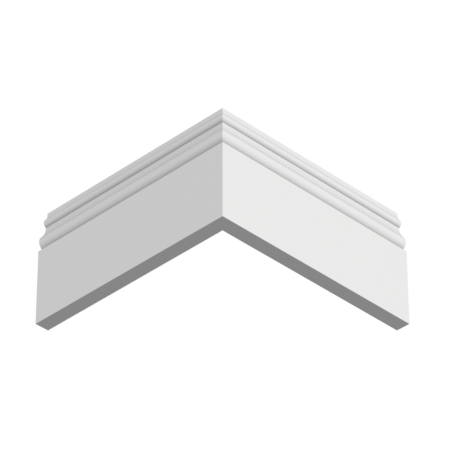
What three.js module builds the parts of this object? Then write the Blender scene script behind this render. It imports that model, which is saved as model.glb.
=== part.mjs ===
// Skirting board round an outside corner of a wall.
// Two lengths of one moulding are mitred at 45 degrees, and their far ends are cut square.
// Millimetres, +Z up. The mitre lies in the plane x = 0 and the moulded faces look towards -Y.
// The origin is under the middle of the box round both lengths, on the floor.

import * as THREE from "three";

// Driving dimensions. An offset is measured out from the wall, and a height up from the floor.
const boardHeight = 150;
const boardThickness = 18;
const lengthAtWall = 262; // from the corner of the wall to the square-cut end
const glueLine = 0.3; // between the two mitred faces
const chordError = 0.01; // between an arc and its facets

const plinth = { height: 93.4, arrisRadius: 0.3 };
const quirk = { offset: 12.5 }; // upright strip between the plinth's ledge and the lower bead
const lowerBead = { nose: 17.6, height: 106.2, radius: 10.2 };
const lowerCove = { offset: 8.6, radius: 21.5 };
const upperBead = { nose: 12.1, height: 133.7, radius: 5.6 };
const upperCove = { offset: 7.1, height: 145.5, radius: 10.2 };
const topEdge = { radius: 2.7 };

// Where the corner of the wall stands, so that the origin is in the middle of the box
const jointSetback = glueLine / Math.SQRT2; // measured along a length
const boxFront = (2 * boardThickness - jointSetback) / Math.SQRT2;
const boxBack = lengthAtWall / Math.SQRT2;
const wallCornerY = (boxFront - boxBack) / 2;

// Points of an arc, fine enough to keep within the chord error. Angles are in radians.
function arcPoints(centre, radius, from, to) {
  const facetAngle = 2 * Math.acos(1 - chordError / radius);
  const facets = Math.ceil(Math.abs(to - from) / facetAngle);
  const points = [];
  for (let i = 0; i <= facets; i += 1) {
    const angle = from + ((to - from) * i) / facets;
    const spoke = new THREE.Vector2(Math.cos(angle), Math.sin(angle));
    points.push(spoke.multiplyScalar(radius).add(centre));
  }
  return points;
}

// Height at which a bead's underside meets an upright face at the given offset
function undersideHeight(centre, radius, offset) {
  return centre.y - Math.sqrt(radius ** 2 - (offset - centre.x) ** 2);
}

// Angle at which a bead runs straight on into the cove above it: the line that touches both arcs
function slopeAngle(beadCentre, beadRadius, coveCentre, coveRadius) {
  const between = coveCentre.clone().sub(beadCentre);
  return between.angle() - Math.acos((beadRadius + coveRadius) / between.length());
}

// A bead from its lowest point at the given offset, its slope, and the cove up to its upright top
function beadAndCove(beadCentre, beadRadius, startOffset, coveCentre, coveRadius) {
  const start = -Math.acos((startOffset - beadCentre.x) / beadRadius);
  const slope = slopeAngle(beadCentre, beadRadius, coveCentre, coveRadius);
  return [
    ...arcPoints(beadCentre, beadRadius, start, slope),
    ...arcPoints(coveCentre, coveRadius, Math.PI + slope, Math.PI),
  ];
}

// Section of the moulding: x is the offset from the wall, y the height
function mouldingSection() {
  const arrisCentre = new THREE.Vector2(
    boardThickness - plinth.arrisRadius,
    plinth.height - plinth.arrisRadius,
  );
  const lowerBeadCentre = new THREE.Vector2(lowerBead.nose - lowerBead.radius, lowerBead.height);
  const upperBeadCentre = new THREE.Vector2(upperBead.nose - upperBead.radius, upperBead.height);
  const lowerCoveCentre = new THREE.Vector2(
    lowerCove.offset + lowerCove.radius,
    undersideHeight(upperBeadCentre, upperBead.radius, lowerCove.offset),
  );
  const upperCoveCentre = new THREE.Vector2(upperCove.offset + upperCove.radius, upperCove.height);
  const topCentre = new THREE.Vector2(
    upperCove.offset - topEdge.radius,
    boardHeight - topEdge.radius,
  );
  return new THREE.Shape([
    new THREE.Vector2(0, 0),
    new THREE.Vector2(boardThickness, 0),
    ...arcPoints(arrisCentre, plinth.arrisRadius, 0, Math.PI / 2),
    new THREE.Vector2(quirk.offset, plinth.height),
    ...beadAndCove(
      lowerBeadCentre,
      lowerBead.radius,
      quirk.offset,
      lowerCoveCentre,
      lowerCove.radius,
    ),
    ...beadAndCove(
      upperBeadCentre,
      upperBead.radius,
      lowerCove.offset,
      upperCoveCentre,
      upperCove.radius,
    ).slice(1), // the lower cove ends where this bead starts
    ...arcPoints(topCentre, topEdge.radius, 0, Math.PI / 2),
    new THREE.Vector2(0, boardHeight),
  ]);
}

const primedWhite = { color: 0xe1e1df, roughness: 0.55, metalness: 0 };

// One length. side is -1 to the left of the mitre and 1 to the right. The section is extruded by
// one, then its mitred end is drawn to the slant and its other end out to the square cut.
function mouldingLength(name, side) {
  const solid = new THREE.ExtrudeGeometry(mouldingSection(), { depth: 1, bevelEnabled: false });
  const place = solid.getAttribute("position");
  for (let i = 0; i < place.count; i += 1) {
    const atMitre = place.getZ(i) === (side > 0 ? 1 : 0);
    const beyondCorner = atMitre ? place.getX(i) - jointSetback : -lengthAtWall;
    place.setZ(i, side * beyondCorner);
  }
  solid.rotateX(Math.PI / 2);
  solid.computeVertexNormals();
  const mesh = new THREE.Mesh(solid, new THREE.MeshStandardMaterial(primedWhite));
  mesh.name = name;
  mesh.rotation.z = ((side - 2) * Math.PI) / 4;
  return mesh;
}

const corner = new THREE.Group();
corner.position.y = wallCornerY;
corner.add(mouldingLength("left_length", -1));
corner.add(mouldingLength("right_length", 1));

export default corner;
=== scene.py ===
import math

import bmesh
import bpy
from mathutils import Matrix, Vector


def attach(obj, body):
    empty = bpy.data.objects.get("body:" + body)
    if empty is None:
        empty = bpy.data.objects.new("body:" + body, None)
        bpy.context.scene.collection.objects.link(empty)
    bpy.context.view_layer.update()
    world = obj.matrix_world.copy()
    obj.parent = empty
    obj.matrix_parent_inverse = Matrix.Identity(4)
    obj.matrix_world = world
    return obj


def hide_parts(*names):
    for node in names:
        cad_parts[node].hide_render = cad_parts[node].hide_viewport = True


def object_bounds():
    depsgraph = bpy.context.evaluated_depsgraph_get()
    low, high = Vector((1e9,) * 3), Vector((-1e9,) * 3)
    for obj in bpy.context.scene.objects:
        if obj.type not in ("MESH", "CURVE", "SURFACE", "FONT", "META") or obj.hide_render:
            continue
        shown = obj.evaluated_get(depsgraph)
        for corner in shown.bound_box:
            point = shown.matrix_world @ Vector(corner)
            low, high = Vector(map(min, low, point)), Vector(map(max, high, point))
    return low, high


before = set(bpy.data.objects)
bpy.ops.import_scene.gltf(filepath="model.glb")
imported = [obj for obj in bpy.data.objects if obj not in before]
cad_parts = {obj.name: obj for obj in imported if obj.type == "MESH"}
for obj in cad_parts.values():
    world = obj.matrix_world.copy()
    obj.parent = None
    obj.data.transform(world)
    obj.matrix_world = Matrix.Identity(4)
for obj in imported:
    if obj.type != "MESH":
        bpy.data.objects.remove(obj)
cadLow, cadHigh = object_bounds()
mm = 0.001

# height and length come from the frame: the front bottom corner of a sawn end is its widest
# point, and the back bottom corner its furthest one. Both backs meet at the corner of the wall.
boardThickness = 18 * mm
boardHeight = cadHigh.z - cadLow.z
lengthAtWall = cadHigh.x * math.sqrt(2) - boardThickness
wallCorner = Vector((0, cadHigh.y - lengthAtWall / math.sqrt(2), cadLow.z))
print("frame loaded, a length at the wall is", round(lengthAtWall / mm, 2), "mm")


# the camera looks up from below the floor, along the line between the two lengths
viewpoint = {
    "location": (-0.575, -2744.7, -1865.3),  # mm
    "aim": (2.5, -80, 6.8),  # mm
    "roll": -0.035,  # degrees
    "lens": 256.48,  # mm
    "sensor": 36,  # mm
}


def placeCamera(look):
    data = bpy.data.cameras.new("camera")
    data.lens = look["lens"]
    data.sensor_width = look["sensor"]
    camera = bpy.data.objects.new("camera", data)
    location = Vector(look["location"]) * mm
    aim = Vector(look["aim"]) * mm
    turn = (aim - location).to_track_quat("-Z", "Y").to_matrix().to_4x4()
    roll = Matrix.Rotation(math.radians(look["roll"]), 4, "Z")
    camera.matrix_world = Matrix.Translation(location) @ turn @ roll
    bpy.context.scene.collection.objects.link(camera)
    bpy.context.scene.camera = camera


placeCamera(viewpoint)
print("camera placed")


# node groups: each is built once and gives values over the surface
def newGroup(name, inputs, outputs):
    group = bpy.data.node_groups.new(name, "ShaderNodeTree")
    for label, kind, value in inputs:
        socket = group.interface.new_socket(name=label, in_out="INPUT", socket_type=kind)
        if value is not None:
            socket.default_value = value
    for label, kind in outputs:
        group.interface.new_socket(name=label, in_out="OUTPUT", socket_type=kind)
    return group, group.nodes.new("NodeGroupInput"), group.nodes.new("NodeGroupOutput")


def addNode(tree, kind, values=None, **settings):
    node = tree.nodes.new(kind)
    for key, value in settings.items():
        setattr(node, key, value)
    for key, value in (values or {}).items():
        node.inputs[key].default_value = value
    return node


def mathNode(tree, operation, first, second):
    node = addNode(tree, "ShaderNodeMath", operation=operation)
    for socket, value in zip(node.inputs, (first, second)):
        if isinstance(value, (int, float)):
            socket.default_value = value
        else:
            tree.links.new(value, socket)
    return node.outputs[0]


# broad soft differences in tone, centred on one
def makeToneGroup():
    group, start, end = newGroup(
        "brushTone",
        [("Vector", "NodeSocketVector", None), ("Scale", "NodeSocketFloat", 20.0),
         ("Contrast", "NodeSocketFloat", 0.02)],
        [("Tone", "NodeSocketFloat")],
    )
    noise = addNode(group, "ShaderNodeTexNoise", {"Detail": 3.0, "Roughness": 0.55})
    group.links.new(start.outputs["Vector"], noise.inputs["Vector"])
    group.links.new(start.outputs["Scale"], noise.inputs["Scale"])
    centred = mathNode(group, "SUBTRACT", noise.outputs["Fac"], 0.5)
    scaled = mathNode(group, "MULTIPLY", centred, start.outputs["Contrast"])
    tone = mathNode(group, "ADD", scaled, 1.0)
    group.links.new(tone, end.inputs["Tone"])
    return group


# the fine orange peel of a sprayed or rolled coat, on broader waves
def makeStippleGroup():
    group, start, end = newGroup(
        "coatStipple",
        [("Vector", "NodeSocketVector", None), ("Scale", "NodeSocketFloat", 700.0),
         ("Wave Scale", "NodeSocketFloat", 63.0), ("Waviness", "NodeSocketFloat", 0.4)],
        [("Height", "NodeSocketFloat")],
    )
    fine = addNode(group, "ShaderNodeTexNoise", {"Detail": 2.0, "Roughness": 0.5})
    broad = addNode(group, "ShaderNodeTexNoise", {"Detail": 1.0, "Roughness": 0.4})
    group.links.new(start.outputs["Vector"], fine.inputs["Vector"])
    group.links.new(start.outputs["Vector"], broad.inputs["Vector"])
    group.links.new(start.outputs["Scale"], fine.inputs["Scale"])
    group.links.new(start.outputs["Wave Scale"], broad.inputs["Scale"])
    wave = mathNode(group, "MULTIPLY", broad.outputs["Fac"], start.outputs["Waviness"])
    height = mathNode(group, "ADD", fine.outputs["Fac"], wave)
    group.links.new(height, end.inputs["Height"])
    return group


# round pits: one in the middle of a cell is a burst bubble
def makePitGroup():
    group, start, end = newGroup(
        "foamPits",
        [("Vector", "NodeSocketVector", None), ("Scale", "NodeSocketFloat", 1600.0),
         ("Width", "NodeSocketFloat", 0.35)],
        [("Pit", "NodeSocketFloat")],
    )
    cells = addNode(group, "ShaderNodeTexVoronoi", {"Randomness": 1.0}, feature="F1")
    group.links.new(start.outputs["Vector"], cells.inputs["Vector"])
    group.links.new(start.outputs["Scale"], cells.inputs["Scale"])
    depth = mathNode(group, "SUBTRACT", start.outputs["Width"], cells.outputs["Distance"])
    pit = mathNode(group, "DIVIDE", depth, start.outputs["Width"])
    clamped = mathNode(group, "MAXIMUM", pit, 0.0)
    group.links.new(clamped, end.inputs["Pit"])
    return group


toneGroup = makeToneGroup()
stippleGroup = makeStippleGroup()
pitGroup = makePitGroup()


def placeGroup(tree, group, vector, values):
    node = addNode(tree, "ShaderNodeGroup", node_tree=group)
    for key, value in values.items():
        node.inputs[key].default_value = value
    tree.links.new(vector, node.inputs["Vector"])
    return node


def newFinish(name, roughness, specular):
    material = bpy.data.materials.new(name)
    material.use_nodes = True
    shader = material.node_tree.nodes["Principled BSDF"]
    shader.inputs["Roughness"].default_value = roughness
    shader.inputs["Specular IOR Level"].default_value = specular
    where = material.node_tree.nodes.new("ShaderNodeTexCoord").outputs["Object"]
    return material, material.node_tree, shader, where


# colour times tone, into Base Color
def tintBase(tree, shader, colour, tone):
    blend = addNode(tree, "ShaderNodeVectorMath", operation="SCALE")
    blend.inputs[0].default_value = colour
    tree.links.new(tone, blend.inputs["Scale"])
    tree.links.new(blend.outputs[0], shader.inputs["Base Color"])


def bumpFrom(tree, shader, height, distance):
    bump = addNode(tree, "ShaderNodeBump", {"Strength": 1.0, "Distance": distance})
    tree.links.new(height, bump.inputs["Height"])
    tree.links.new(bump.outputs["Normal"], shader.inputs["Normal"])


# noise drawn out along one direction, its cycles per metre given for X, Y and Z
def streaks(tree, where, cycles, detail):
    stretch = addNode(tree, "ShaderNodeMapping", {"Scale": cycles})
    tree.links.new(where, stretch.inputs["Vector"])
    noise = addNode(tree, "ShaderNodeTexNoise", {"Scale": 1.0, "Detail": detail})
    tree.links.new(stretch.outputs["Vector"], noise.inputs["Vector"])
    return noise.outputs["Fac"]


# a foamed surface: soft tone with pits darkened by painted shade, and streaks that the pits sink
# into
def layFoam(tree, shader, where, size):
    tone = placeGroup(tree, toneGroup, where,
                      {"Scale": size["toneScale"], "Contrast": size["toneContrast"]})
    pits = placeGroup(tree, pitGroup, where,
                      {"Scale": size["pitScale"], "Width": size["pitWidth"]})
    # painted shade: the colour is made darker in each pit
    shade = mathNode(tree, "MULTIPLY", pits.outputs["Pit"], -size["pitShade"])
    tintBase(tree, shader, size["colour"], mathNode(tree, "ADD", tone.outputs["Tone"], shade))
    marks = streaks(tree, where, size["streakCycles"], size["streakDetail"])
    height = mathNode(tree, "SUBTRACT", marks, pits.outputs["Pit"])
    bumpFrom(tree, shader, height, size["streakHeight"])


# white primer on the moulded faces
primer = {
    "colour": (0.75, 0.749, 0.746),
    "roughness": 0.62,
    "roughnessSpread": 0.06,
    "sheenScale": 88.0,
    "specular": 0.35,
    "toneScale": 22.0,
    "toneContrast": 0.012,
    "stippleScale": 900.0,
    "stippleWaveScale": 81.0,
    "stippleWaviness": 0.5,
    "stippleHeight": 0.006 * mm,
}


def makePrimer(size):
    material, tree, shader, where = newFinish("whitePrimer", size["roughness"], size["specular"])
    tone = placeGroup(tree, toneGroup, where,
                      {"Scale": size["toneScale"], "Contrast": size["toneContrast"]})
    tintBase(tree, shader, size["colour"], tone.outputs["Tone"])
    sheen = placeGroup(tree, toneGroup, where,
                       {"Scale": size["sheenScale"], "Contrast": size["roughnessSpread"]})
    rough = mathNode(tree, "MULTIPLY", sheen.outputs["Tone"], size["roughness"])
    tree.links.new(rough, shader.inputs["Roughness"])
    stipple = placeGroup(tree, stippleGroup, where,
                         {"Scale": size["stippleScale"], "Wave Scale": size["stippleWaveScale"],
                          "Waviness": size["stippleWaviness"]})
    bumpFrom(tree, shader, stipple.outputs["Height"], size["stippleHeight"])
    return material


# the sawn end: fine foam with a few open cells and the upright marks of the saw
sawnCore = {
    "colour": (0.84, 0.83, 0.80),
    "roughness": 0.8,
    "specular": 0.25,
    "toneScale": 60.0,
    "toneContrast": 0.05,
    "pitScale": 1500.0,
    "pitWidth": 0.42,
    "pitShade": 0.16,
    "streakCycles": (900.0, 0.0, 25.0),
    "streakDetail": 2.0,
    "streakHeight": 0.03 * mm,
}


def makeSawnCore(size):
    material, tree, shader, where = newFinish("sawnCore", size["roughness"], size["specular"])
    layFoam(tree, shader, where, size)
    return material


# the back is as it left the mould: unprimed, duller, with faint lines along the length
mouldedBack = {
    "colour": (0.82, 0.815, 0.80),
    "roughness": 0.78,
    "specular": 0.25,
    "toneScale": 14.0,
    "toneContrast": 0.06,
    "pitScale": 160.0,
    "pitWidth": 0.1,
    "pitShade": 0.2,
    "streakCycles": (6.0, 6.0, 420.0),
    "streakDetail": 3.0,
    "streakHeight": 0.02 * mm,
}


def makeMouldedBack(size):
    material, tree, shader, where = newFinish("mouldedBack", size["roughness"], size["specular"])
    layFoam(tree, shader, where, size)
    return material


finishes = [makePrimer(primer), makeSawnCore(sawnCore), makeMouldedBack(mouldedBack)]
coreSlot = 1  # places in that list
backSlot = 2
print("finishes made:", ", ".join(finish.name for finish in finishes))


# one moulding, walked round in millimetres: x is the offset from the wall, z the height
moulding = {
    "arris": 0.15,  # small rounding of the bottom corners and the top back corner
    "plinthHeight": 93.4,
    "plinthArris": 0.3,
    "quirkOffset": 12.5,
    "lowerNose": 17.6,
    "lowerBeadHeight": 106.2,
    "lowerBeadRadius": 10.2,
    "lowerCoveOffset": 8.6,
    "lowerCoveRadius": 21.5,
    "upperNose": 12.1,
    "upperBeadHeight": 133.7,
    "upperBeadRadius": 5.6,
    "bandOffset": 7.1,
    "bandHeight": 145.5,
    "bandCoveRadius": 10.2,
    "topRadius": 2.7,
    "arcStep": 3,  # degrees
    "arrisSteps": 3,
    "endArris": 0.08,  # chamfer round the sawn end
    "skin": 0.9,  # dense white skin that shows round the sawn core
    "crease": 30,  # degrees, from which an edge is crisp
}
sameSpot = 0.01 * mm  # points closer than this are at one place of the section
squareOn = 0.99  # a face looks along an axis if its normal reaches this far along it


# the pen is the last vertex of the outline, and draws a straight or an arc from where it is
def lineTo(bm, pen, offset, height):
    tip = bmesh.ops.extrude_vert_indiv(bm, verts=[pen])["verts"][0]
    tip.co = Vector((offset, 0, height)) * mm
    return tip


# a positive sweep bulges away from the wall as the outline climbs, a negative one hollows it
def arcBy(bm, pen, centre, sweep, step):
    steps = max(2, math.ceil(abs(sweep) / step))
    spun = bmesh.ops.spin(
        bm, geom=[pen], cent=Vector((centre[0], 0, centre[1])) * mm, axis=(0, -1, 0),
        angle=math.radians(sweep), steps=steps, use_duplicate=False,
    )
    return spun["geom_last"][0]


# angle at which a bead's underside meets an upright face at the given offset
def undersideAngle(bead, radius, offset):
    return -math.acos((offset - bead[0]) / radius)


# a bead runs straight into the cove above it along the line that touches both arcs
def beadIntoCove(bm, pen, bead, beadRadius, start, cove, coveRadius, step):
    across, up = cove[0] - bead[0], cove[1] - bead[1]
    slope = math.atan2(up, across) - math.acos((beadRadius + coveRadius) / math.hypot(across, up))
    pen = arcBy(bm, pen, bead, math.degrees(slope - start), step)
    pen = lineTo(bm, pen, cove[0] - coveRadius * math.cos(slope),
                 cove[1] - coveRadius * math.sin(slope))
    return arcBy(bm, pen, cove, -math.degrees(slope), step)


def drawOutline(bm, size):
    top = boardHeight / mm
    thick, step = boardThickness / mm, size["arcStep"]
    start = bm.verts.new((0, 0, 0))
    pen = lineTo(bm, start, thick, 0)
    pen = lineTo(bm, pen, thick, size["plinthHeight"])
    pen = lineTo(bm, pen, size["quirkOffset"], size["plinthHeight"])

    # lower bead, from the top of the quirk
    lowerRadius = size["lowerBeadRadius"]
    lower = (size["lowerNose"] - lowerRadius, size["lowerBeadHeight"])
    lowerStart = undersideAngle(lower, lowerRadius, size["quirkOffset"])
    pen = lineTo(bm, pen, size["quirkOffset"], lower[1] + lowerRadius * math.sin(lowerStart))

    # the lower cove ends upright, under the upper bead
    upperRadius = size["upperBeadRadius"]
    upper = (size["upperNose"] - upperRadius, size["upperBeadHeight"])
    upperStart = undersideAngle(upper, upperRadius, size["lowerCoveOffset"])
    coveTop = upper[1] + upperRadius * math.sin(upperStart)
    cove = (size["lowerCoveOffset"] + size["lowerCoveRadius"], coveTop)
    pen = beadIntoCove(bm, pen, lower, lowerRadius, lowerStart, cove, size["lowerCoveRadius"], step)

    # upper bead, and the small cove up to the plain band
    bandCove = (size["bandOffset"] + size["bandCoveRadius"], size["bandHeight"])
    pen = beadIntoCove(bm, pen, upper, upperRadius, upperStart, bandCove, size["bandCoveRadius"],
                       step)

    # rounded top edge, then across the top and down the back
    soft = size["topRadius"]
    pen = lineTo(bm, pen, size["bandOffset"], top - soft)
    pen = arcBy(bm, pen, (size["bandOffset"] - soft, top - soft), 90, step)
    pen = lineTo(bm, pen, 0, top)
    bm.edges.new((pen, start))


# the section grows along the wall, from well past the mitre to the sawn end's chamfer.
# side is -1 left of the mitre and 1 right of it.
def growLength(bm, side, size):
    section = bmesh.ops.contextual_create(bm, geom=bm.edges[:])["faces"][0]
    overrun = 2 * boardThickness
    bmesh.ops.translate(bm, verts=section.verts[:], vec=(0, -side * overrun, 0))
    run = overrun + lengthAtWall - size["endArris"] * mm
    grown = bmesh.ops.extrude_face_region(bm, geom=[section])["geom"]
    farEnd = [part for part in grown if isinstance(part, bmesh.types.BMVert)]
    bmesh.ops.translate(bm, verts=farEnd, vec=(0, side * run, 0))
    bmesh.ops.recalc_face_normals(bm, faces=bm.faces[:])


# the sawn end: a small chamfer, then the skin round the core
def dressSawnEnd(bm, side, size):
    sawn = [face for face in bm.faces if face.normal.y * side > squareOn]
    bmesh.ops.inset_region(bm, faces=sawn, thickness=size["endArris"] * mm,
                           depth=size["endArris"] * mm, use_even_offset=True)
    bmesh.ops.inset_region(bm, faces=sawn, thickness=size["skin"] * mm, use_even_offset=True)
    for face in sawn:
        face.material_index = coreSlot


# rounds the long edges that stand at one place of the section
def softenAlong(bm, offset, height, radius, steps):
    place = Vector((offset, 0, height)) * mm
    along = [edge for edge in bm.edges if all(
        abs(vert.co.x - place.x) < sameSpot and abs(vert.co.z - place.z) < sameSpot
        for vert in edge.verts)]
    bmesh.ops.bevel(bm, geom=along, offset=radius * mm, offset_type="OFFSET", segments=steps,
                    profile=0.5, affect="EDGES", material=-1)


# the small arrises, which the sawn end's own chamfer meets
def softenCorners(bm, size):
    thick, steps = boardThickness / mm, size["arrisSteps"]
    softenAlong(bm, thick, size["plinthHeight"], size["plinthArris"], steps)
    for offset, height in ((0, 0), (thick, 0), (0, boardHeight / mm)):
        softenAlong(bm, offset, height, size["arris"], steps)


# cuts the mitre in the plane between the two lengths, and closes it
def cutMitre(bm, side):
    everything = bm.verts[:] + bm.edges[:] + bm.faces[:]
    bmesh.ops.bisect_plane(bm, geom=everything, plane_co=(0, 0, 0), plane_no=(side, 0, 0),
                           clear_inner=True)
    mitre = [edge for edge in bm.edges if edge.is_boundary]
    bmesh.ops.contextual_create(bm, geom=mitre)
    bmesh.ops.recalc_face_normals(bm, faces=bm.faces[:])


def makeLength(name, side, size):
    bm = bmesh.new()
    drawOutline(bm, size)
    growLength(bm, side, size)
    dressSawnEnd(bm, side, size)
    softenCorners(bm, size)
    for face in bm.faces:
        if face.normal.x < -squareOn:
            face.material_index = backSlot

    # turned to its own wall
    turn = Matrix.Rotation(math.radians(45 * (side - 2)), 4, "Z")
    bmesh.ops.transform(bm, matrix=Matrix.Translation(wallCorner) @ turn, verts=bm.verts[:])
    cutMitre(bm, side)

    # smooth along the arcs, crisp at the real corners
    for face in bm.faces:
        face.smooth = True
    for edge in bm.edges:
        edge.smooth = edge.calc_face_angle(0) < math.radians(size["crease"])

    mesh = bpy.data.meshes.new(name)
    bm.to_mesh(mesh)
    bm.free()
    for finish in finishes:
        mesh.materials.append(finish)
    piece = bpy.data.objects.new(name, mesh)
    bpy.context.scene.collection.objects.link(piece)

    # keeps the flat faces flat beside their roundings
    weighted = piece.modifiers.new("flatFaces", "WEIGHTED_NORMAL")
    weighted.keep_sharp = True
    return piece


for name, side in (("left_length", -1), ("right_length", 1)):
    piece = makeLength(name + "_moulding", side, moulding)
    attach(piece, "root")
    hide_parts(name)
print("both lengths made")


# the floor lies just under the part, and is clear from below so that the camera sees through it
floorStage = {"side": 16.0, "drop": 0.5 * mm, "colour": (0.9, 0.9, 0.9), "glow": 0.43}


def makeFloorFinish(size):
    material = bpy.data.materials.new("paleFloor")
    material.use_nodes = True
    tree = material.node_tree
    shader = tree.nodes["Principled BSDF"]
    shader.inputs["Base Color"].default_value = (*size["colour"], 1)
    shader.inputs["Roughness"].default_value = 1.0
    shader.inputs["Specular IOR Level"].default_value = 0.0
    shader.inputs["Emission Color"].default_value = (1, 1, 1, 1)
    shader.inputs["Emission Strength"].default_value = size["glow"]
    clear = tree.nodes.new("ShaderNodeBsdfTransparent")
    facing = tree.nodes.new("ShaderNodeNewGeometry")
    either = tree.nodes.new("ShaderNodeMixShader")
    tree.links.new(facing.outputs["Backfacing"], either.inputs["Fac"])
    tree.links.new(shader.outputs["BSDF"], either.inputs[1])
    tree.links.new(clear.outputs["BSDF"], either.inputs[2])
    tree.links.new(either.outputs["Shader"], tree.nodes["Material Output"].inputs["Surface"])
    return material


def makeFloor(size):
    bm = bmesh.new()
    bmesh.ops.create_grid(bm, x_segments=1, y_segments=1, size=size["side"] / 2,
                          matrix=Matrix.Translation((0, 0, cadLow.z - size["drop"])))
    mesh = bpy.data.meshes.new("floor")
    bm.to_mesh(mesh)
    bm.free()
    mesh.materials.append(makeFloorFinish(size))
    floor = bpy.data.objects.new("floor", mesh)
    bpy.context.scene.collection.objects.link(floor)

    # only the camera sees it, so that the studio's light reaches the underside
    floor.visible_diffuse = False
    floor.visible_glossy = False
    floor.visible_transmission = False
    floor.visible_shadow = False


makeFloor(floorStage)


# degrees, with the azimuth measured from the camera's side towards the right
suns = {
    "frontSun": {"azimuth": 14.5, "elevation": 0, "strength": 3.08, "softness": 20},
    "backSun": {"azimuth": 190, "elevation": 20, "strength": 2.4, "softness": 15},
}
studio = {"sunDistance": 3, "ambient": 0.28, "backdrop": 1.0, "bounces": 0}


def hangSun(name, size, distance):
    data = bpy.data.lights.new(name, "SUN")
    data.energy = size["strength"]
    data.angle = math.radians(size["softness"])
    sun = bpy.data.objects.new(name, data)
    azimuth, elevation = math.radians(size["azimuth"]), math.radians(size["elevation"])
    towards = Vector((math.sin(azimuth) * math.cos(elevation),
                      -math.cos(azimuth) * math.cos(elevation), math.sin(elevation)))
    sun.rotation_euler = towards.to_track_quat("Z", "Y").to_euler()
    sun.location = towards * distance
    bpy.context.scene.collection.objects.link(sun)


# a white backdrop for the camera, and a softer even light on the part
def fillStudio(size):
    world = bpy.data.worlds.new("studio")
    world.use_nodes = True
    tree = world.node_tree
    light = tree.nodes["Background"]
    light.inputs["Color"].default_value = (1, 1, 1, 1)
    light.inputs["Strength"].default_value = size["ambient"]
    backdrop = addNode(tree, "ShaderNodeBackground",
                       {"Color": (1, 1, 1, 1), "Strength": size["backdrop"]})
    ray = tree.nodes.new("ShaderNodeLightPath")
    either = tree.nodes.new("ShaderNodeMixShader")
    tree.links.new(ray.outputs["Is Camera Ray"], either.inputs["Fac"])
    tree.links.new(light.outputs["Background"], either.inputs[1])
    tree.links.new(backdrop.outputs["Background"], either.inputs[2])
    tree.links.new(either.outputs["Shader"], tree.nodes["World Output"].inputs["Surface"])
    bpy.context.scene.world = world


for name, size in suns.items():
    hangSun(name, size, studio["sunDistance"])
fillStudio(studio)
bpy.context.scene.cycles.diffuse_bounces = studio["bounces"]
bpy.context.scene.view_settings.view_transform = "Standard"
print("floor and lights ready")
